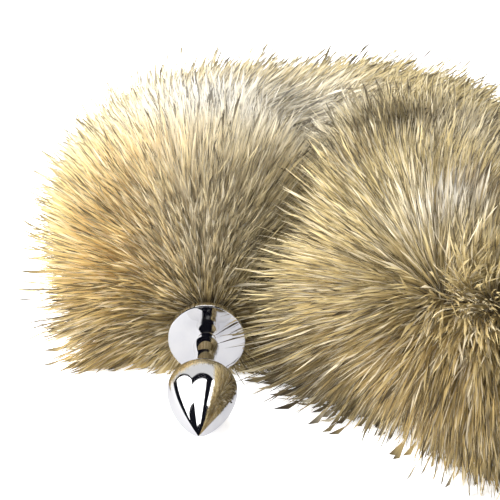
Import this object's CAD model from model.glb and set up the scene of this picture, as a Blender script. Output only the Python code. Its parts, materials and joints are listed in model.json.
import json
import math
from functools import partial

import bmesh
import bpy
import numpy as np
from mathutils import Matrix, Vector


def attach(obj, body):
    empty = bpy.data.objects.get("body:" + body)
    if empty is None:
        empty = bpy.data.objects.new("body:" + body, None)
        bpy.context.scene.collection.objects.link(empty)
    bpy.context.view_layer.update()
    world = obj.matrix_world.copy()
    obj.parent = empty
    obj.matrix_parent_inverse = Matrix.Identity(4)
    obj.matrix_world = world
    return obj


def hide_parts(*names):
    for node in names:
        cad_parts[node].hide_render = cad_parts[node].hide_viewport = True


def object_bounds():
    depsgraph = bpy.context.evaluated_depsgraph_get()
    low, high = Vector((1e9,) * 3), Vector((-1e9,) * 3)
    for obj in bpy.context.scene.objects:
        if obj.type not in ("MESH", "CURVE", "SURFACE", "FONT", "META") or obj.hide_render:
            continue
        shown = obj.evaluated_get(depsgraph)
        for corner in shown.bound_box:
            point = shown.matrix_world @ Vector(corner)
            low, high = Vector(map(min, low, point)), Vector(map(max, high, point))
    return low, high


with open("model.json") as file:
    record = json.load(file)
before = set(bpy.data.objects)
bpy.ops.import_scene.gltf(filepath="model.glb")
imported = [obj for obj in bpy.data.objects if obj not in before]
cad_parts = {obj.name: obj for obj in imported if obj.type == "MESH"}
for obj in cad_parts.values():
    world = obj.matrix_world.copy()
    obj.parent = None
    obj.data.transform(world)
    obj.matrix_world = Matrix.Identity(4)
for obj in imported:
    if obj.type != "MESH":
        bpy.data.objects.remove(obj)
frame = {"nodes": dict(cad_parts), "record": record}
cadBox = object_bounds()
mm = 0.001


# Small helpers

def linearColour(hexCode):
    # an sRGB hex value such as "d8b26a", as the linear colour that shaders take
    parts = [int(hexCode[i:i + 2], 16) / 255 for i in (0, 2, 4)]
    return tuple(c / 12.92 if c <= 0.04045 else ((c + 0.055) / 1.055) ** 2.4 for c in parts) + (1.0,)


def addNode(tree, kind, settings=None, **links):
    # settings are the node's properties; links go to its inputs, by name or as _0, _1, and are sockets or values
    node = tree.nodes.new(kind)
    for key, value in (settings or {}).items():
        setattr(node, key, value)
    for key, value in links.items():
        socket = node.inputs[int(key[1:])] if key[0] == "_" else node.inputs[key.replace("_", " ")]
        if isinstance(value, bpy.types.NodeSocket):
            tree.links.new(value, socket)
        else:
            socket.default_value = value
    return node


def newMaterial(name):
    material = bpy.data.materials.new(name)
    material.use_nodes = True
    return material, material.node_tree, material.node_tree.nodes["Principled BSDF"]


def meshObject(name, mesh):
    made = bpy.data.objects.new(name, mesh)
    bpy.context.scene.collection.objects.link(made)
    return made


def addPiece(piece, slotName, *nodes):
    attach(piece, "root")
    if nodes:
        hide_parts(*nodes)
    return piece


def smooth(share):
    share = min(max(share, 0.0), 1.0)
    return share * share * (3 - 2 * share)


# Where the plug lies: its flange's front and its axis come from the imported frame

def readPlugFrame():
    mount = next(m for m in frame["record"]["mounts"] if m["name"] == "flange_front")
    axis = Vector(mount["axis"]).normalized()
    onFace = Vector(mount["pos_m"])
    points = {tuple(round(c, 6) for c in v.co) for v in frame["nodes"]["plug"].data.vertices
              if abs((v.co - onFace).dot(axis)) < 0.00002}
    centre = sum((Vector(p) for p in points), Vector()) / len(points)
    return centre, axis


flangeCentre, plugAxis = readPlugFrame()
print("plug frame read")


# Camera

camera = {
    "flangeAt": (206.8, 340.0),  # pixel of the flange's centre in the photo
    "imageSide": 500,
    "pixelsPerMetre": 2530,      # at the flange
    "distance": 700 * mm,        # of the flange along the line of sight
    "elevation": 22.0,
    "sensor": 36.0,
}


def makeCamera(c):
    lift = math.radians(c["elevation"])
    ahead = Vector((0, math.cos(lift), -math.sin(lift)))
    right = Vector((1, 0, 0))
    up = right.cross(ahead)
    across = (c["flangeAt"][0] - c["imageSide"] / 2) / c["pixelsPerMetre"]
    above = (c["imageSide"] / 2 - c["flangeAt"][1]) / c["pixelsPerMetre"]
    data = bpy.data.cameras.new("camera")
    data.sensor_width = c["sensor"]
    data.lens = c["sensor"] * c["pixelsPerMetre"] * c["distance"] / c["imageSide"]
    data.clip_start = 0.02
    made = bpy.data.objects.new("camera", data)
    bpy.context.scene.collection.objects.link(made)
    place = flangeCentre - across * right - above * up - c["distance"] * ahead
    made.matrix_world = Matrix.Translation(place) @ Matrix((right, up, -ahead)).transposed().to_4x4()
    bpy.context.scene.camera = made


makeCamera(camera)

# Studio: a white table inside a light tent. The lamps light the fur, and the tent's walls are cards that only the
# metal mirrors. Places are metres over the flange, with z from the table.
studio = {
    "floorHalf": 6.0,
    "floorColour": "fdfdfd",
    "floorGlow": 0.50,
    "floorMirrored": "c4c4cc",  # the metal mirrors it in grey, as the camera's exposure leaves it white
    "worldLight": 1.2,
    "tentInside": "14141b",
    "lamps": {
        "topLamp": ((-0.05, 0.15, 1.05), (0.0, 0.02, 0.05), (0.9, 0.8), 7.0),
        "backLamp": ((0.05, 0.85, 0.65), (0.02, 0.05, 0.08), (1.1, 0.6), 8.0),
        "leftLamp": ((-0.85, -0.10, 0.42), (-0.04, 0.02, 0.05), (0.5, 0.6), 19.0),
        "rightLamp": ((0.95, 0.0, 0.55), (0.0, 0.0, 0.05), (0.6, 0.8), 1.0),
        "frontLamp": ((-0.7, -1.2, 0.8), (-0.05, 0.0, 0.04), (0.9, 0.7), 6.0),
    },
    "walls": {
        "topWall": (((-0.50, 0.28, 1.0), (0.25, 0.28, 1.0), (0.28, -0.28, 1.0), (-0.50, -0.28, 1.0)), 2.6),
        "leftWall": (((-0.53, 0.38, 0.15), (-0.53, 0.38, 0.97), (-0.53, 0.02, 0.97), (-0.53, 0.02, 0.15)), 2.6),
        "rightWall": (((0.57, 0.22, 0.05), (0.57, 0.36, 0.98), (0.57, -0.03, 0.98), (0.57, -0.03, 0.05)), 2.6),
        "backWall": (((-0.66, 0.55, 0.0), (1.08, 0.55, 0.0), (1.08, 0.55, 1.3), (-0.66, 0.55, 1.3)), 0.75),
    },
}


def makeCard(name, corners, strength):
    mesh = bpy.data.meshes.new(name)
    mesh.from_pydata([(flangeCentre.x + x, flangeCentre.y + y, z) for x, y, z in corners], [], [(0, 1, 2, 3)])
    card = meshObject(name, mesh)
    material, tree, shader = newMaterial(name)
    shader.inputs["Base Color"].default_value = (0, 0, 0, 1)
    shader.inputs["Specular IOR Level"].default_value = 0
    shader.inputs["Emission Color"].default_value = (1, 1, 1, 1)
    # it is bright for what mirrors it straight on, and dim for a mirror seen in another mirror
    bounces = addNode(tree, "ShaderNodeLightPath").outputs["Glossy Depth"]
    again = addNode(tree, "ShaderNodeMath", {"operation": "GREATER_THAN"}, _0=bounces, _1=1.5)
    shown = addNode(tree, "ShaderNodeMapRange", Value=again.outputs[0], To_Min=strength, To_Max=strength * 0.06)
    tree.links.new(shown.outputs[0], shader.inputs["Emission Strength"])
    mesh.materials.append(material)
    card.visible_camera = card.visible_diffuse = card.visible_shadow = False
    card.visible_transmission = card.visible_volume_scatter = False


def makeLamp(name, place, aim, size, power):
    data = bpy.data.lights.new(name, "AREA")
    data.shape = "RECTANGLE"
    data.size, data.size_y = size
    data.energy = power
    lamp = bpy.data.objects.new(name, data)
    bpy.context.scene.collection.objects.link(lamp)
    over = Vector((flangeCentre.x, flangeCentre.y, 0))
    lamp.location = over + Vector(place)
    lamp.rotation_euler = (Vector(aim) - Vector(place)).to_track_quat("-Z", "Y").to_euler()
    lamp.visible_glossy = False


def makeFloor(s):
    # Matt white photo paper: overexposed, so that only a faint shade shows where things stand on it
    half = s["floorHalf"]
    mesh = bpy.data.meshes.new("floor")
    mesh.from_pydata([(-half, -half, 0), (half, -half, 0), (half, half, 0), (-half, half, 0)], [], [(0, 1, 2, 3)])
    floor = meshObject("floor", mesh)
    material, tree, shader = newMaterial("photoPaper")
    where = addNode(tree, "ShaderNodeTexCoord")
    pulp = addNode(tree, "ShaderNodeTexNoise", Vector=where.outputs["Object"], Scale=400.0)
    grain = addNode(tree, "ShaderNodeBump", Strength=0.02, Distance=0.0002, Height=pulp.outputs[0])
    tree.links.new(grain.outputs[0], shader.inputs["Normal"])
    shader.inputs["Base Color"].default_value = linearColour(s["floorColour"])
    shader.inputs["Roughness"].default_value = 0.9
    shader.inputs["Specular IOR Level"].default_value = 0.1
    shader.inputs["Emission Color"].default_value = (1, 1, 1, 1)
    shader.inputs["Emission Strength"].default_value = s["floorGlow"]
    mirrored = addNode(tree, "ShaderNodeEmission", Color=linearColour(s["floorMirrored"]), Strength=1.0)
    path = addNode(tree, "ShaderNodeLightPath").outputs["Is Glossy Ray"]
    share = addNode(tree, "ShaderNodeMath", {"operation": "MULTIPLY"}, _0=path, _1=0.8)
    both = addNode(tree, "ShaderNodeMixShader", _0=share.outputs[0], _1=shader.outputs[0], _2=mirrored.outputs[0])
    tree.links.new(both.outputs[0], tree.nodes["Material Output"].inputs[0])
    mesh.materials.append(material)


def makeWorld(s):
    world = bpy.data.worlds.new("studioWorld")
    world.use_nodes = True
    bpy.context.scene.world = world
    tree = world.node_tree
    inside = tree.nodes["Background"]
    inside.inputs[0].default_value = linearColour(s["tentInside"])
    path = addNode(tree, "ShaderNodeLightPath").outputs
    light = addNode(tree, "ShaderNodeBackground", _0=(1, 1, 1, 1), _1=s["worldLight"])
    white = addNode(tree, "ShaderNodeBackground", _0=(1, 1, 1, 1), _1=1.0)
    lit = addNode(tree, "ShaderNodeMixShader", _0=path["Is Glossy Ray"], _1=light.outputs[0], _2=inside.outputs[0])
    seen = addNode(tree, "ShaderNodeMixShader", _0=path["Is Camera Ray"], _1=lit.outputs[0], _2=white.outputs[0])
    tree.links.new(seen.outputs[0], tree.nodes["World Output"].inputs[0])


makeFloor(studio)
makeWorld(studio)
for name, (place, aim, size, power) in studio["lamps"].items():
    makeLamp(name, place, aim, size, power)
for name, (corners, strength) in studio["walls"].items():
    makeCard(name, corners, strength)
view = bpy.context.scene.view_settings
view.view_transform = "Standard"
view.look = "None"
view.exposure = 0.0
print("camera and studio made")


# The plug, turned again along the solid's own profile but much finer

plug = {
    "flangeDiameter": 31.0 * mm,
    "flangeThickness": 3.2 * mm,
    "flangeEdge": 0.7 * mm,
    "neckRoot": 7.2 * mm,
    "collarStart": 6.0 * mm,
    "collarDiameter": 10.4 * mm,
    "collarLength": 8.5 * mm,
    "neckDiameter": 8.1 * mm,
    "neckLength": 27.0 * mm,
    "shoulderLength": 12.4 * mm,
    "bulbDiameter": 26.5 * mm,
    "taperLength": 31.0 * mm,
    "shoulderSwell": (2.41, 1.87),
    "taperSwell": (1.55, 0.93),
    "rounding": 0.25 * mm,  # of the collar's edge and of the neck's root
    "around": 112,
}


def plugProfile(p):
    # (radius, distance from the flange's front towards the tip), from the middle of the flange's back to the tip
    reach = p["flangeDiameter"] / 2 - p["flangeEdge"]
    points = [(0, -p["flangeThickness"]), (reach * 0.5, -p["flangeThickness"])]
    for middle, first in ((p["flangeEdge"] - p["flangeThickness"], 0), (-p["flangeEdge"], math.pi / 2)):
        for i in range(7):
            angle = first + math.pi / 2 * i / 6
            points.append((reach + p["flangeEdge"] * math.sin(angle), middle - p["flangeEdge"] * math.cos(angle)))
    root, collar, neck, bulb = (p[key] / 2 for key in ("neckRoot", "collarDiameter", "neckDiameter", "bulbDiameter"))
    soft, start = p["rounding"], p["collarStart"]
    points += [(reach * 0.6, 0), (root + soft, 0), (root + soft * 0.3, soft * 0.3), (root, soft)]
    for i in range(1, 8):
        share = i / 8
        points.append((root + (collar - soft * 0.3 - root) * share ** 1.15, soft + (start - 2 * soft) * share))
    points += [(collar - soft * 0.3, start - soft), (collar, start - soft * 0.2), (collar, start + soft * 0.6)]
    for i in range(1, 13):
        share = i / 12
        points.append((collar + (neck - collar) * (0.6 * share + 0.4 * smooth(share)),
                       start + soft * 0.6 + (p["collarLength"] - soft * 0.6) * share))
    points.append((neck, p["neckLength"] - 4 * mm))
    power, swell = p["shoulderSwell"]
    for i in range(36):
        back = math.cos(math.pi / 2 * i / 36)
        points.append((neck + (bulb - neck) * (1 - back ** power) ** swell,
                       p["neckLength"] + p["shoulderLength"] * (1 - back)))
    power, swell = p["taperSwell"]
    widest = p["neckLength"] + p["shoulderLength"]
    for i in range(44):
        along = math.sin(math.pi / 2 * i / 44)
        points.append((bulb * (1 - along ** power) ** swell, widest + p["taperLength"] * along))
    return points + [(0, widest + p["taperLength"])]


def polishedChrome():
    # Chrome-plated steel, mirror polished: it shows the room sharply, with a faint haze and hairlines from handling
    material, tree, shader = newMaterial("polishedChrome")
    shader.inputs["Metallic"].default_value = 1.0
    where = addNode(tree, "ShaderNodeTexCoord").outputs["Object"]
    haze = addNode(tree, "ShaderNodeTexNoise", Vector=where, Scale=160.0, Detail=3.0)  # patches of about 6 mm
    rough = addNode(tree, "ShaderNodeMapRange", Value=haze.outputs[0], From_Min=0.35, From_Max=0.7,
                    To_Min=0.03, To_Max=0.07)
    tone = addNode(tree, "ShaderNodeValToRGB", _0=haze.outputs[0])
    tone.color_ramp.elements[0].color = linearColour("f6f5f2")
    tone.color_ramp.elements[1].color = linearColour("e8e8ea")
    fine = addNode(tree, "ShaderNodeTexNoise", Vector=where, Scale=900.0, Detail=2.0)  # about 1 mm
    bump = addNode(tree, "ShaderNodeBump", Strength=0.012, Distance=0.0002, Height=fine.outputs[0])
    tree.links.new(rough.outputs[0], shader.inputs["Roughness"])
    tree.links.new(tone.outputs[0], shader.inputs["Base Color"])
    tree.links.new(bump.outputs[0], shader.inputs["Normal"])
    return material


def brushedSteel():
    # The post's bare steel rod as it was cut and brushed: grey, with fine scratches along it
    material, tree, shader = newMaterial("brushedSteel")
    shader.inputs["Metallic"].default_value = 1.0
    where = addNode(tree, "ShaderNodeTexCoord").outputs["Object"]
    turned = addNode(tree, "ShaderNodeMapping", Vector=where, Scale=(3000.0, 60.0, 3000.0))  # scratches 0.3 mm wide
    scratch = addNode(tree, "ShaderNodeTexNoise", Vector=turned.outputs[0], Scale=1.0, Detail=2.0)
    rough = addNode(tree, "ShaderNodeMapRange", Value=scratch.outputs[0], To_Min=0.28, To_Max=0.45)
    tone = addNode(tree, "ShaderNodeValToRGB", _0=scratch.outputs[0])
    tone.color_ramp.elements[0].color = linearColour("a5a6a8")
    tone.color_ramp.elements[1].color = linearColour("c3c4c6")
    tree.links.new(rough.outputs[0], shader.inputs["Roughness"])
    tree.links.new(tone.outputs[0], shader.inputs["Base Color"])
    return material


def makePlug(p):
    bm = bmesh.new()
    side = plugAxis.orthogonal().normalized()
    other = side.cross(plugAxis)
    rings = []
    for radius, along in plugProfile(p):
        middle = flangeCentre + plugAxis * along
        count = p["around"] if radius > 0 else 1
        turns = [math.tau * i / count for i in range(count)]
        rings.append([bm.verts.new(middle + radius * (math.cos(a) * side + math.sin(a) * other)) for a in turns])
    for first, second in zip(rings, rings[1:]):
        for i in range(p["around"]):
            k = (i + 1) % p["around"]
            corners = [first[i % len(first)], first[k % len(first)], second[k % len(second)], second[i % len(second)]]
            bm.faces.new(list(dict.fromkeys(corners)))
    bmesh.ops.recalc_face_normals(bm, faces=bm.faces)
    mesh = bpy.data.meshes.new("polishedPlug")
    bm.to_mesh(mesh)
    bm.free()
    mesh.shade_smooth()
    mesh.set_sharp_from_angle(angle=math.radians(32))
    mesh.materials.append(polishedChrome())
    return addPiece(meshObject("polishedPlug", mesh), "polished_metal", "plug")


makePlug(plug)
frame["nodes"]["tail_post"].material_slots[0].material = brushedSteel()
print("plug made")


# The tail's route and outer form, from the same sizes as its solid

tail = {
    "leadLength": 65.0 * mm,
    "leadTurn": math.radians(-12),
    "turnRadius": 48.0 * mm,
    "turnAngle": math.radians(196),
    "legLength": 45.0 * mm,
    "bendRadius": 84.0 * mm,
    "bendAngle": math.radians(48),
    "endLength": 90.0 * mm,
    "endAngle": math.radians(6),
    "width": 122.0 * mm,
    "height": 96.0 * mm,
    "spineHeight": 45.0 * mm,
    "rootSpread": 28.0 * mm,
    "settleLength": 44.0 * mm,
    "tipSpread": 66.0 * mm,
    "creaseShare": 0.34,
    "creaseGap": 1.5 * mm,
    "turnGap": 4.0 * mm,
    "clearance": 0.3 * mm,
    "lumps": ((0.00, 0.97), (0.16, 1.04), (0.30, 0.96), (0.46, 1.03), (0.60, 0.97), (0.78, 1.03), (1.00, 0.98)),
}
tail["rows"] = (
    (tail["leadLength"], tail["leadTurn"]),
    (tail["turnRadius"] * tail["turnAngle"], tail["turnAngle"]),
    (tail["legLength"], 0.0),
    (tail["bendRadius"] * tail["bendAngle"], -tail["bendAngle"]),
    (tail["endLength"], -tail["endAngle"]),
)
tail["length"] = sum(length for length, turn in tail["rows"])


def routeAt(distance):
    x, y, heading = flangeCentre.x, flangeCentre.y + plug["flangeThickness"] + tail["clearance"], 0.0
    for stretch, (length, turn) in enumerate(tail["rows"]):
        part = distance if stretch == len(tail["rows"]) - 1 else min(distance, length)
        angle = turn * part / length
        chord = part if abs(angle) < 1e-9 else part * math.sin(angle / 2) / (angle / 2)
        x += chord * math.sin(heading + angle / 2)
        y += chord * math.cos(heading + angle / 2)
        heading += angle
        distance -= part
        if distance <= 1e-9:
            break
    return Vector((x, y, 0)), heading, stretch


def rightOf(heading):
    return Vector((math.cos(heading), -math.sin(heading), 0))


turnPlace, turnHeading, turnStretch = routeAt(tail["leadLength"])
turnMiddle = turnPlace + tail["turnRadius"] * rightOf(turnHeading)
creaseFront = Vector((flangeCentre.x + tail["creaseShare"] * 2 * tail["turnRadius"],
                      flangeCentre.y + plug["flangeThickness"], 0))


def innerReach(place, heading, stretch):
    # how far the fur may come on the side where the two legs press together
    if stretch == 1:
        return tail["turnRadius"] - tail["turnGap"]
    along = (creaseFront - turnMiddle).normalized()
    right = rightOf(heading)
    across = right.x * along.y - right.y * along.x
    if abs(across) < 1e-6:
        return tail["width"]
    offset = turnMiddle - place
    reach = (offset.x * along.y - offset.y * along.x) / across
    return tail["width"] if reach <= 0 else min(reach - tail["creaseGap"] / 2, tail["width"])


def lumpAt(share):
    for (low, first), (high, second) in zip(tail["lumps"], tail["lumps"][1:]):
        if share <= high:
            return first + (second - first) * smooth((share - low) / (high - low))
    return tail["lumps"][-1][1]


def opening(distance):
    left = tail["length"] - distance
    atRoot = math.sqrt(max(0.0, 1 - max(0.0, 1 - distance / tail["rootSpread"]) ** 2))
    atTip = math.sqrt(max(0.0, 1 - max(0.0, 1 - left / tail["tipSpread"]) ** 2))
    return atRoot * atTip


def ringAt(distance, sides):
    # the spine's point, and the outer form's points round it
    place, heading, stretch = routeAt(distance)
    forward = Vector((math.sin(heading), math.cos(heading), 0))
    right = rightOf(heading)
    settled = smooth(distance / tail["settleLength"])
    droop = math.asin(-plugAxis.z) * (1 - settled)
    up = Vector((0, 0, math.cos(droop))) - forward * math.sin(droop)
    tipShare = smooth((tail["length"] - distance) / tail["tipSpread"])
    middle = flangeCentre.z + (tail["spineHeight"] - flangeCentre.z) * settled
    middle *= 0.55 + 0.45 * tipShare
    size = opening(distance) * lumpAt(distance / tail["length"])
    wide = tail["width"] / 2 * size
    high = min((tail["height"] - tail["spineHeight"]) * size, tail["height"] - middle)
    reach = innerReach(place, heading, stretch)
    centre = place + Vector((0, 0, middle))
    ring = []
    for i in range(sides):
        angle = math.tau * i / sides
        cosine, sine = math.cos(angle), math.sin(angle)
        radius = 1 / math.hypot(cosine / wide, sine / (high if sine > 0 else wide))
        if cosine > 0:
            radius = min(radius, reach / cosine)
        if sine < 0:
            radius = min(radius, middle / (-sine * up.z))
        ring.append(centre + right * radius * cosine + up * radius * sine)
    return centre, ring


# The undercoat: a closed body inside the outer form, from which the strands grow. What it keeps at each point steers
# them: which way is out, which way the fur is stroked, how long it may be, how thick it grows and how tousled it is.

coat = {
    "sides": 72,
    "step": 3.2 * mm,
    "capRings": 14,
    "share": 0.60,             # of the outer form's reach from the spine
    "lift": 2.5 * mm,          # over the table
    "behindFlange": 5.0 * mm,  # where it starts
    "shortest": 0.45,          # share of the full length that strands keep where they have no room
    "frontRoom": 0.85,         # the same on the front leg, which spreads over its neighbour
    "flare": 46.0 * mm,        # length of the tail over which its root is combed outwards, round the flange
    "flareForward": (19.0 * mm, 12.0 * mm),  # from that far from the plug's axis it comes forward too
    "bald": 10.5 * mm,         # radius round the plug's axis without strands, behind the flange
    "underside": 0.35,         # share of the strands that grow there
    "partAt": 0.53,            # share of the tail where its front leg starts
    "crown": (71, -70, 74),    # mm over the flange: the strands of the front leg part here and lie away from it
    "crownSize": 24.0 * mm,
    "tousledAt": (72, -72, 60),
    "tousledSize": 34.0 * mm,
    "tousled": 1.6,            # how much more the strands wander there
    "bridgeAt": (54, -8, 22),  # the front leg's fur is combed over the gap beside the flange from here
    "bridgeSize": 28.0 * mm,
    "bridgeStroke": (-1.3, 0.2, 0.0),
}


def overFlange(place):
    return Vector((flangeCentre.x + place[0] * mm, flangeCentre.y + place[1] * mm, place[2] * mm))


def coatStations():
    root, tip, total = tail["rootSpread"], tail["tipSpread"], tail["length"]
    start = math.radians(6)
    angles = [start + (math.pi / 2 - start) * i / coat["capRings"] for i in range(coat["capRings"])]
    count = round((total - root - tip) / coat["step"])
    body = [root + (total - root - tip) * i / count for i in range(count + 1)]
    return ([root * (1 - math.cos(a)) for a in angles] + body
            + [total - tip * (1 - math.cos(a)) for a in reversed(angles)])


def bridgeNear(point):
    return math.exp(-((point - overFlange(coat["bridgeAt"])).length / coat["bridgeSize"]) ** 2)


def strokeAt(distance, point, outward, alongTail):
    # along the tail on its first leg, away from the crown on its front leg, and out over the flange's edge at its root
    part = smooth((distance / tail["length"] - coat["partAt"]) / 0.05)
    away = point - overFlange(coat["crown"])
    near = smooth(away.length / coat["crownSize"])
    away -= outward * away.dot(outward)
    stroke = alongTail * (1 - part) + away.normalized() * part * near
    stroke += Vector(coat["bridgeStroke"]) * part * bridgeNear(point)
    flare = 1 - smooth(distance / coat["flare"])
    aside = point - flangeCentre
    aside -= plugAxis * aside.dot(plugAxis)
    start, width = coat["flareForward"]
    forward = smooth((aside.length - start) / width)
    return stroke * (1 - flare) + (aside.normalized() + plugAxis * 0.9 * forward) * flare


def makeUndercoat():
    sides = coat["sides"]
    stations = coatStations()
    middles, outer = zip(*(ringAt(distance, sides) for distance in stations))
    bm = bmesh.new()
    kept = {key: bm.verts.layers.float_vector.new(key) for key in ("stroke", "outward")}
    kept.update({key: bm.verts.layers.float.new(key) for key in ("room", "growth", "tousle")})
    rows = []
    last = len(stations) - 1
    fullRoom = (1 - coat["share"]) * tail["width"] / 2
    for i, distance in enumerate(stations):
        heading = routeAt(distance)[1]
        back = Vector((math.sin(heading), math.cos(heading), 0)) * coat["behindFlange"]
        back *= 1 - smooth(distance / tail["rootSpread"])
        row = []
        for j in range(sides):
            point = middles[i] + (outer[i][j] - middles[i]) * coat["share"] + back
            point.z = max(point.z, coat["lift"])
            vert = bm.verts.new(point)
            alongTail = (outer[min(i + 1, last)][j] - outer[max(i - 1, 0)][j]).normalized()
            reach = outer[i][j] - point
            outward = alongTail.cross(outer[i][(j + 1) % sides] - outer[i][j - 1])
            if outward.dot(reach) < 0:
                outward.negate()
            outward = (outward.normalized() + reach.normalized()).normalized()
            aside = point - flangeCentre
            aside -= plugAxis * aside.dot(plugAxis)
            hidden = distance < tail["rootSpread"] and aside.length < coat["bald"]
            least = coat["frontRoom"] if distance / tail["length"] > coat["partAt"] else coat["shortest"]
            vert[kept["outward"]] = outward
            vert[kept["stroke"]] = strokeAt(distance, point, outward, alongTail)
            bushy = 1 + 0.25 * (1 - smooth(distance / coat["flare"])) + 0.5 * bridgeNear(point)
            vert[kept["room"]] = min(1.0, max(least, reach.length / fullRoom)) * bushy
            vert[kept["growth"]] = coat["underside"] if outward.z < -0.6 else 1.0 - hidden
            fromTousle = (point - overFlange(coat["tousledAt"])).length / coat["tousledSize"]
            vert[kept["tousle"]] = 1 + coat["tousled"] * math.exp(-fromTousle ** 2)
            row.append(vert)
        rows.append(row)
    for first, second in zip(rows, rows[1:]):
        for j in range(sides):
            k = (j + 1) % sides
            bm.faces.new((first[j], first[k], second[k], second[j]))
    for row in (rows[0], rows[-1]):
        bm.faces.new(row)
    bmesh.ops.recalc_face_normals(bm, faces=bm.faces)
    mesh = bpy.data.meshes.new("undercoat")
    bm.to_mesh(mesh)
    bm.free()
    mesh.shade_smooth()
    return meshObject("undercoat", mesh)


undercoat = makeUndercoat()
print("undercoat made:", len(undercoat.data.polygons), "faces")


# Strands: one Geometry Nodes tree, used once for each coat of fur

strandInputs = (
    ("density", "Float"), ("seed", "Int"), ("length", "Float"), ("spread", "Float"), ("width", "Float"),
    ("stand", "Float"), ("lean", "Float"), ("wander", "Float"), ("mess", "Float"), ("fall", "Float"),
    ("lockSize", "Float"), ("lock", "Float"), ("tuftSize", "Float"), ("tuft", "Float"), ("frizz", "Float"),
    ("lowest", "Vector"), ("highest", "Vector"),
)


def makeBlade(name, triangles):
    # one strip of triangles that zigzags from edge to edge and tapers to a point
    count = triangles + 2
    shares = [0.0] + [(i / (count - 2)) ** 0.92 for i in range(count - 1)]
    sides = [(0.5 if i % 2 else -0.5) * (1 - share ** 2.4) for i, share in enumerate(shares)]
    mesh = bpy.data.meshes.new(name)
    faces = [(i, i + 1, i + 2) if i % 2 == 0 else (i + 1, i, i + 2) for i in range(triangles)]
    mesh.from_pydata([(side, 0, share) for side, share in zip(sides, shares)], [], faces)
    for key, values in (("along", shares), ("side", sides)):
        mesh.attributes.new(key, "FLOAT", "POINT").data.foreach_set("value", values)
    return meshObject(name, mesh)


def weightedSum(add, terms):
    # vectors times their weights, added up
    total = None
    for vector, weight in terms:
        term = add("ShaderNodeVectorMath", {"operation": "SCALE"}, _0=vector, Scale=weight).outputs[0]
        if total is not None:
            term = add("ShaderNodeVectorMath", {"operation": "ADD"}, _0=total, _1=term).outputs[0]
        total = term
    return total


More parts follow.
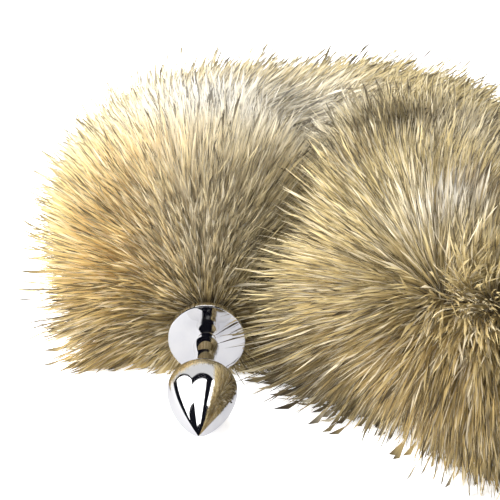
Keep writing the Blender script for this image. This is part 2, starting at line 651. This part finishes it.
def strandTree(blade, material):
    tree = bpy.data.node_groups.new("strands", "GeometryNodeTree")
    tree.interface.new_socket("Geometry", in_out="INPUT", socket_type="NodeSocketGeometry")
    for name, kind in strandInputs:
        tree.interface.new_socket(name, in_out="INPUT", socket_type="NodeSocket" + kind)
    tree.interface.new_socket("Geometry", in_out="OUTPUT", socket_type="NodeSocketGeometry")
    add = partial(addNode, tree)
    given = add("NodeGroupInput").outputs
    read = {}
    for kind, keys in (("FLOAT", ("growth", "room", "tousle", "along", "side")),
                       ("FLOAT_VECTOR", ("outward", "stroke", "rootAt", "aim", "luck"))):
        for key in keys:
            read[key] = add("GeometryNodeInputNamedAttribute", {"data_type": kind}, Name=key).outputs["Attribute"]

    # a point for each strand, which keeps its place and two random vectors
    density = add("ShaderNodeMath", {"operation": "MULTIPLY"}, _0=given["density"], _1=read["growth"])
    spots = add("GeometryNodeDistributePointsOnFaces", Mesh=given["Geometry"], Density=density.outputs[0],
                Seed=given["seed"])
    nextSeed = add("ShaderNodeMath", {"operation": "ADD"}, _0=given["seed"], _1=100.0)
    place = add("GeometryNodeInputPosition")
    aim = add("FunctionNodeRandomValue", {"data_type": "FLOAT_VECTOR"}, Min=(-1, -1, -1), Max=(1, 1, 1),
              Seed=given["seed"])
    luck = add("FunctionNodeRandomValue", {"data_type": "FLOAT_VECTOR"}, Min=(0, 0, 0), Max=(1, 1, 1),
               Seed=nextSeed.outputs[0])
    points = spots.outputs["Points"]
    for key, value in (("rootAt", place), ("aim", aim), ("luck", luck)):
        points = add("GeometryNodeStoreNamedAttribute", {"data_type": "FLOAT_VECTOR", "domain": "POINT"},
                     Geometry=points, Name=key, Value=value.outputs[0]).outputs[0]
    shape = add("GeometryNodeObjectInfo", _0=blade)
    planted = add("GeometryNodeInstanceOnPoints", Points=points, Instance=shape.outputs["Geometry"])
    loose = add("GeometryNodeRealizeInstances", Geometry=planted.outputs[0])

    # which way a strand sets off and which way it ends
    coarse = add("ShaderNodeTexNoise", Vector=read["rootAt"], Scale=32.0, Detail=1.0)
    finer = add("ShaderNodeTexNoise", Vector=read["rootAt"], Scale=110.0, Detail=1.0)
    both = add("ShaderNodeVectorMath", {"operation": "MULTIPLY_ADD"}, _0=finer.outputs["Color"], _1=(0.6, 0.6, 0.6),
               _2=coarse.outputs["Color"])
    even = add("ShaderNodeVectorMath", {"operation": "SUBTRACT"}, _0=both.outputs[0], _1=(0.8, 0.8, 0.8))
    wander = add("ShaderNodeMath", {"operation": "MULTIPLY"}, _0=given["wander"], _1=read["tousle"])
    setOff = weightedSum(add, ((read["outward"], given["stand"]), (read["stroke"], given["lean"]),
                               (even.outputs[0], wander.outputs[0]), (read["aim"], given["mess"])))
    first = add("ShaderNodeVectorMath", {"operation": "NORMALIZE"}, _0=setOff).outputs[0]
    bent = weightedSum(add, ((first, 1.0), (read["stroke"], given["lean"]), ((0.0, 0.0, -1.0), given["fall"])))
    final = add("ShaderNodeVectorMath", {"operation": "NORMALIZE"}, _0=bent).outputs[0]

    # how far along its own curve a point lies
    chance = add("ShaderNodeSeparateXYZ", _0=read["luck"]).outputs
    cut = add("ShaderNodeMath", {"operation": "MULTIPLY"}, _0=given["spread"], _1=chance[0])
    left = add("ShaderNodeMath", {"operation": "SUBTRACT"}, _0=1.0, _1=cut.outputs[0])
    full = add("ShaderNodeMath", {"operation": "MULTIPLY"}, _0=given["length"], _1=read["room"])
    length = add("ShaderNodeMath", {"operation": "MULTIPLY"}, _0=full.outputs[0], _1=left.outputs[0])
    square = add("ShaderNodeMath", {"operation": "MULTIPLY"}, _0=read["along"], _1=read["along"])
    half = add("ShaderNodeMath", {"operation": "MULTIPLY"}, _0=square.outputs[0], _1=0.5)
    rest = add("ShaderNodeMath", {"operation": "SUBTRACT"}, _0=read["along"], _1=half.outputs[0])
    reach = weightedSum(add, ((first, rest.outputs[0]), (final, half.outputs[0])))

    # strands gather into locks, and at their ends into finer tufts
    gather = []
    for size, strength, power in (("lockSize", "lock", 1.4), ("tuftSize", "tuft", 2.2)):
        scale = add("ShaderNodeMath", {"operation": "DIVIDE"}, _0=1.0, _1=given[size])
        uneven = add("ShaderNodeVectorMath", {"operation": "MULTIPLY_ADD"}, _0=even.outputs[0], _1=(0.01, 0.01, 0.01),
                     _2=read["rootAt"])
        cell = add("ShaderNodeTexVoronoi", {"feature": "F1"}, Vector=uneven.outputs[0], Scale=scale.outputs[0])
        offset = add("ShaderNodeVectorMath", {"operation": "SUBTRACT"}, _0=cell.outputs["Position"], _1=read["rootAt"])
        late = add("ShaderNodeMath", {"operation": "POWER"}, _0=read["along"], _1=power)
        pull = add("ShaderNodeMath", {"operation": "MULTIPLY"}, _0=late.outputs[0], _1=given[strength])
        gather.append((offset.outputs[0], pull.outputs[0]))

    # a slow waver, and the strand's own width across it
    waverAt = weightedSum(add, ((read["rootAt"], 1.0), (read["aim"], 0.03), (reach, 0.012)))
    waver = add("ShaderNodeTexNoise", Vector=waverAt, Scale=190.0, Detail=1.0)
    evenWaver = add("ShaderNodeVectorMath", {"operation": "SUBTRACT"}, _0=waver.outputs["Color"], _1=(0.5, 0.5, 0.5))
    bend = add("ShaderNodeMath", {"operation": "MULTIPLY"}, _0=given["frizz"], _1=read["along"])
    sideways = add("ShaderNodeVectorMath", {"operation": "CROSS_PRODUCT"}, _0=first, _1=read["aim"])
    across = add("ShaderNodeVectorMath", {"operation": "NORMALIZE"}, _0=sideways.outputs[0])
    thick = add("ShaderNodeMapRange", Value=chance[1], To_Min=0.7, To_Max=1.3)
    wide = add("ShaderNodeMath", {"operation": "MULTIPLY"}, _0=given["width"], _1=thick.outputs[0])
    offCentre = add("ShaderNodeMath", {"operation": "MULTIPLY"}, _0=wide.outputs[0], _1=read["side"])
    final = weightedSum(add, ((read["rootAt"], 1.0), (reach, length.outputs[0]), *gather,
                              (evenWaver.outputs[0], bend.outputs[0]), (across.outputs[0], offCentre.outputs[0])))
    under = add("ShaderNodeVectorMath", {"operation": "MINIMUM"}, _0=final, _1=given["highest"])
    over = add("ShaderNodeVectorMath", {"operation": "MAXIMUM"}, _0=under.outputs[0], _1=given["lowest"])
    moved = add("GeometryNodeSetPosition", Geometry=loose.outputs[0], Position=over.outputs[0])
    painted = add("GeometryNodeSetMaterial", Geometry=moved.outputs[0], Material=material)
    add("NodeGroupOutput", _0=painted.outputs[0])
    return tree


def growStrands(name, settings, triangles, material):
    blade = makeBlade(name + "Blade", triangles)
    tree = strandTree(blade, material)
    modifier = undercoat.modifiers.new(name, "NODES")
    modifier.node_group = tree
    sockets = {item.name: item.identifier for item in tree.interface.items_tree if item.in_out == "INPUT"}
    for key, value in settings.items():
        modifier[sockets[key]] = value
    bpy.context.view_layer.update()
    graph = bpy.context.evaluated_depsgraph_get()
    mesh = bpy.data.meshes.new_from_object(undercoat.evaluated_get(graph))
    mesh.name = name
    undercoat.modifiers.remove(modifier)
    bpy.data.objects.remove(blade)
    bpy.data.node_groups.remove(tree)
    print(name, "has", len(mesh.polygons), "triangles")
    return meshObject(name, mesh)


# Where the dye changes, as places in mm over the flange, with a radius in mm and a strength
dyeSpots = {
    "gold": (((-44, 14, 45), 34, 1.0), ((-37, 39, 87), 24, 0.8), ((-52, 18, 8), 25, 0.8), ((44, 26, 92), 15, 0.6),
             ((94, -36, 98), 16, 0.8), ((63, -72, 23), 28, 0.75), ((82, -94, 30), 30, 0.75), ((39, -43, 49), 22, 0.5)),
    "dark": (((30, -8, 18), 24, 0.95), ((36, -24, 6), 18, 0.8), ((55, 22, 100), 20, 0.8), ((78, 49, 94), 16, 0.6),
             ((66, 60, 92), 12, 0.5), ((104, -32, 104), 24, 0.95), ((23, 12, 60), 8, 0.5), ((24, 25, 75), 8, 0.5),
             ((0, 5, 36), 14, 0.5), ((-22, 4, 20), 15, 0.75), ((22, 4, 16), 14, 0.8), ((-50, 2, 8), 22, 0.4),
             ((-64, 8, 28), 16, 0.5), ((44, -50, 26), 20, 0.6), ((62, -62, 30), 46, 0.35), ((92, -92, 30), 42, 0.5),
             ((75, -30, 62), 70, 0.26), ((42, -8, 62), 22, 0.2)),
    "pale": (((-4, 78, 96), 42, 1.0), ((-6, 22, 62), 24, 0.5), ((81, -43, 100), 18, 1.0), ((39, 94, 87), 26, 0.8),
             ((102, 47, 93), 20, 0.4)),
}
dyeJitter = 9.0 * mm


def dyeStrands(mesh):
    # how gold, dark and pale each point is, blurred a little from strand to strand
    count = len(mesh.vertices)
    places = np.empty(count * 3)
    mesh.vertices.foreach_get("co", places)
    places = places.reshape(-1, 3)
    if "luck" in mesh.attributes:
        luck = np.empty(count * 3)
        mesh.attributes["luck"].data.foreach_get("vector", luck)
        places = places + (luck.reshape(-1, 3) - 0.5) * 2 * dyeJitter
    dyes = np.ones((count, 4))
    for channel, key in enumerate(("gold", "dark", "pale")):
        without = np.ones(count)
        for place, radius, strength in dyeSpots[key]:
            distance = np.linalg.norm(places - np.array(overFlange(place)), axis=1)
            without *= 1 - strength * np.exp(-(distance / (radius * mm)) ** 2)
        dyes[:, channel] = 1 - without
    mesh.attributes.new("dyes", "FLOAT_COLOR", "POINT").data.foreach_set("color", dyes.ravel())


# Colours from a strand's root to its end
furColours = {
    "plain": ((0.0, "9e8e69"), (0.35, "c5b381"), (0.7, "e0cc94"), (1.0, "ecdaa8")),
    "gold": ((0.0, "b4945a"), (0.35, "e6bd70"), (0.75, "f5d389"), (1.0, "fadf9f")),
    "dark": ((0.0, "52432a"), (0.4, "775f32"), (0.75, "614c29"), (1.0, "2e2419")),
    "pale": ((0.0, "d6ccb2"), (0.35, "f5ecd6"), (0.75, "fdf9ef"), (1.0, "fffefa")),
    "tip": "2b231b",
    "darkHair": "40382b",
    "lightHair": "f6edd6",
    "scattered": 0.11,
    "darkTips": 0.20,    # share of the strands
    "darkHairs": 0.09,
    "lightHairs": 0.22,
}


def fauxFur(name, c, tips=1.0):
    # Modacrylic faux fur, spun, crimped and brushed out: fine matt fibres that let light through, grey at their roots,
    # dyed in soft patches, with some whole strands dark or light and many ends dipped dark
    material, tree, shader = newMaterial(name)
    add = partial(addNode, tree)
    along = add("ShaderNodeAttribute", {"attribute_name": "along"}).outputs["Fac"]
    luck = add("ShaderNodeAttribute", {"attribute_name": "luck"}).outputs["Vector"]
    dyes = add("ShaderNodeAttribute", {"attribute_name": "dyes"}).outputs["Color"]
    chance = add("ShaderNodeSeparateXYZ", _0=luck).outputs
    amount = add("ShaderNodeSeparateColor", _0=dyes).outputs
    colour = None
    for key, channel in (("plain", None), ("gold", 0), ("pale", 2), ("dark", 1)):
        ramp = add("ShaderNodeValToRGB", _0=along)
        stops = c[key]
        for element, (position, code) in zip(ramp.color_ramp.elements, (stops[0], stops[-1])):
            element.position = position
            element.color = linearColour(code)
        for position, code in stops[1:-1]:
            ramp.color_ramp.elements.new(position).color = linearColour(code)
        if colour is None:
            colour = ramp.outputs[0]
        else:
            colour = add("ShaderNodeMix", {"data_type": "RGBA"}, _0=amount[channel], _6=colour,
                         _7=ramp.outputs[0]).outputs[2]
    for low, high, strength, code, source in (
            (c["darkHairs"], 0.0, 0.75, c["darkHair"], chance[1]),
            (1 - c["lightHairs"], 1.0, 0.45, c["lightHair"], chance[1])):
        chosen = add("ShaderNodeMapRange", Value=source, From_Min=low, From_Max=low * 0.9 + high * 0.1,
                     To_Min=0.0, To_Max=strength)
        colour = add("ShaderNodeMix", {"data_type": "RGBA"}, _0=chosen.outputs[0], _6=colour,
                     _7=linearColour(code)).outputs[2]
    ends = add("ShaderNodeMapRange", Value=along, From_Min=0.66, From_Max=0.95, To_Min=0.0, To_Max=0.9)
    tipped = add("ShaderNodeMath", {"operation": "LESS_THAN"}, _0=chance[2], _1=c["darkTips"] * tips)
    plainer = add("ShaderNodeMapRange", Value=amount[2], To_Min=1.0, To_Max=0.35)
    dipped = add("ShaderNodeMath", {"operation": "MULTIPLY"}, _0=ends.outputs[0], _1=tipped.outputs[0])
    dipped = add("ShaderNodeMath", {"operation": "MULTIPLY"}, _0=dipped.outputs[0], _1=plainer.outputs[0])
    colour = add("ShaderNodeMix", {"data_type": "RGBA"}, _0=dipped.outputs[0], _6=colour,
                 _7=linearColour(c["tip"])).outputs[2]
    facing = add("ShaderNodeNewGeometry").outputs["Normal"]
    outward = add("ShaderNodeAttribute", {"attribute_name": "outward"}).outputs["Vector"]
    softer = weightedSum(add, ((facing, 0.35), (outward, 0.9)))
    tree.links.new(add("ShaderNodeVectorMath", {"operation": "NORMALIZE"}, _0=softer).outputs[0], shader.inputs["Normal"])
    # a little glow stands in for the light that scatters on between the fibres
    tree.links.new(colour, shader.inputs["Emission Color"])
    shader.inputs["Emission Strength"].default_value = c["scattered"]
    tree.links.new(colour, shader.inputs["Base Color"])
    shader.inputs["Roughness"].default_value = 0.6
    shader.inputs["Specular IOR Level"].default_value = 0.3
    glow = add("ShaderNodeBsdfTranslucent", Color=colour)
    mixed = add("ShaderNodeMixShader", _0=0.45, _1=shader.outputs[0], _2=glow.outputs[0])
    tree.links.new(mixed.outputs[0], tree.nodes["Material Output"].inputs[0])
    return material


slack, proud, margin = 0.03, 10 * mm, 1.5 * mm
boxLow, boxHigh = Vector(cadBox[0]), Vector(cadBox[1])
spare = slack * (boxHigh - boxLow) + Vector((1, 1, 1)) * (proud - margin)
lowest, highest = boxLow - spare, boxHigh + spare
lowest.z = 0.3 * mm

coats = {
    "underFur": {"triangles": 3, "density": 740000, "seed": 3, "length": 25 * mm, "spread": 0.5, "width": 0.28 * mm,
                 "stand": 0.75, "lean": 0.35, "wander": 1.1, "mess": 0.30, "fall": 0.05, "lockSize": 6 * mm,
                 "lock": 0.15, "tuftSize": 2.5 * mm, "tuft": 0.2, "frizz": 5 * mm},
    "coatFurA": {"triangles": 4, "density": 594000, "seed": 5, "length": 33 * mm, "spread": 0.35, "width": 0.19 * mm,
                 "stand": 0.75, "lean": 0.6, "wander": 1.1, "mess": 0.14, "fall": 0.18, "lockSize": 12 * mm,
                 "lock": 0.14, "tuftSize": 4 * mm, "tuft": 0.08, "frizz": 4 * mm},
    "coatFurB": {"triangles": 4, "density": 594000, "seed": 7, "length": 36 * mm, "spread": 0.35, "width": 0.18 * mm,
                 "stand": 0.75, "lean": 0.55, "wander": 1.1, "mess": 0.16, "fall": 0.18, "lockSize": 9 * mm,
                 "lock": 0.12, "tuftSize": 3 * mm, "tuft": 0.06, "frizz": 5 * mm},
    "coatFurC": {"triangles": 4, "density": 594000, "seed": 9, "length": 31 * mm, "spread": 0.35, "width": 0.18 * mm,
                 "stand": 0.75, "lean": 0.55, "wander": 1.2, "mess": 0.22, "fall": 0.15, "lockSize": 10 * mm,
                 "lock": 0.10, "tuftSize": 5 * mm, "tuft": 0.05, "frizz": 6 * mm},
    "guardFur": {"triangles": 6, "density": 400000, "seed": 11, "length": 43 * mm, "spread": 0.4, "width": 0.14 * mm,
                 "stand": 0.75, "lean": 0.5, "wander": 1.2, "mess": 0.32, "fall": 0.12, "lockSize": 10 * mm,
                 "lock": 0.1, "tuftSize": 5 * mm, "tuft": 0.1, "frizz": 7 * mm},
}

fur = fauxFur("fauxFur", furColours)
guardHair = fauxFur("guardHair", dict(furColours, darkHairs=0.28, darkTips=0.6))
undercoat.data.materials.append(fur)
strandKeys = ("side", "stroke", "room", "growth", "tousle", "aim", "rootAt")
for name, settings in coats.items():
    values = {key: value for key, value in settings.items() if key != "triangles"}
    values.update(lowest=tuple(lowest), highest=tuple(highest))
    piece = growStrands(name, values, settings["triangles"], guardHair if name == "guardFur" else fur)
    dyeStrands(piece.data)
    for key in strandKeys:
        if key in piece.data.attributes:
            piece.data.attributes.remove(piece.data.attributes[key])
    addPiece(piece, "faux_fur", "fur_tail")

for key in strandKeys:
    if key in undercoat.data.attributes:
        undercoat.data.attributes.remove(undercoat.data.attributes[key])
dyeStrands(undercoat.data)
addPiece(undercoat, "faux_fur", "fur_tail")
print("fur grown")
